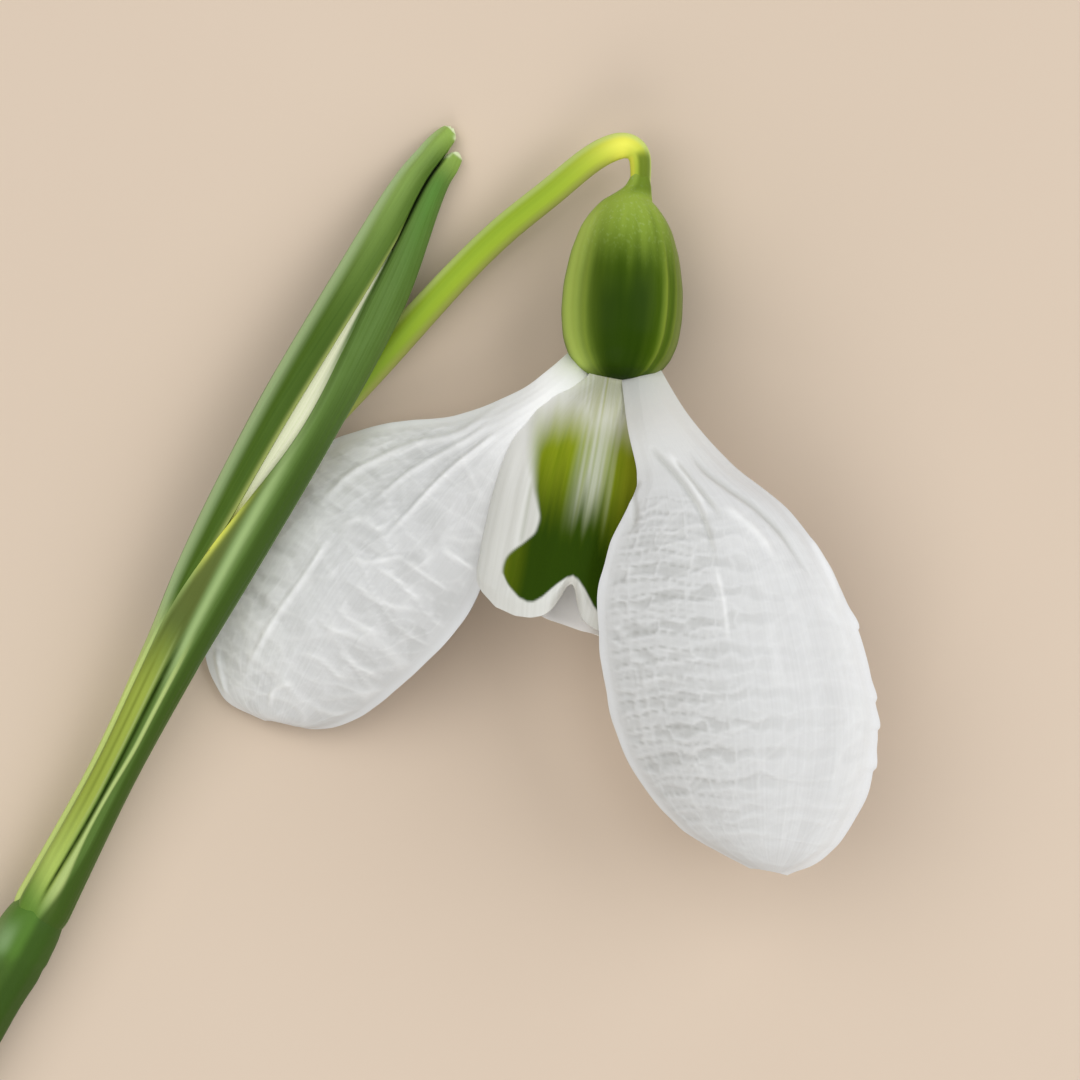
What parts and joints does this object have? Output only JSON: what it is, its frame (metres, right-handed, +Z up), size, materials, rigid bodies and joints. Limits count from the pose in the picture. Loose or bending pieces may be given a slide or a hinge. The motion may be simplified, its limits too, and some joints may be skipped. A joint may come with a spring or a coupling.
{
  "type": "snowdrop flower",
  "caption": "Picked snowdrop lying on its side: nodding white flower with a green-marked inner cup on an arching stalk, sheath and cut stem.",
  "frame": {"origin": "on the surface the flower lies on, under the middle of its box", "axes": "+Z up from the surface; +Y towards the bend of the stalk and the tip of the sheath, roughly against the way the petals hang; +X to the side the large puckered petal leans"},
  "size_m": [0.0654, 0.0784, 0.0121],
  "materials": {
    "stem_green": "satin",
    "bract_green": "satin",
    "membrane_cream": "matte",
    "pedicel_green": "satin",
    "ovary_green": "satin",
    "petal_white": "matte",
    "inner_petal_marked": "matte",
    "anther_orange": "matte",
    "style_pale": "satin"
  },
  "bodies": {
    "root": {"scape": "stem_green", "spathe_left_bract": "bract_green", "spathe_right_bract": "bract_green", "spathe_membrane": "membrane_cream", "pedicel": "pedicel_green", "ovary": "ovary_green", "outer_tepal_left": "petal_white", "outer_tepal_right": "petal_white", "outer_tepal_back": "petal_white", "inner_tepal_front": "inner_petal_marked", "inner_tepal_left": "inner_petal_marked", "inner_tepal_right": "inner_petal_marked", "style": "style_pale", "stamen_1": "anther_orange", "stamen_2": "anther_orange", "stamen_3": "anther_orange", "stamen_4": "anther_orange", "stamen_5": "anther_orange", "stamen_6": "anther_orange"}
  },
  "joints": []
}
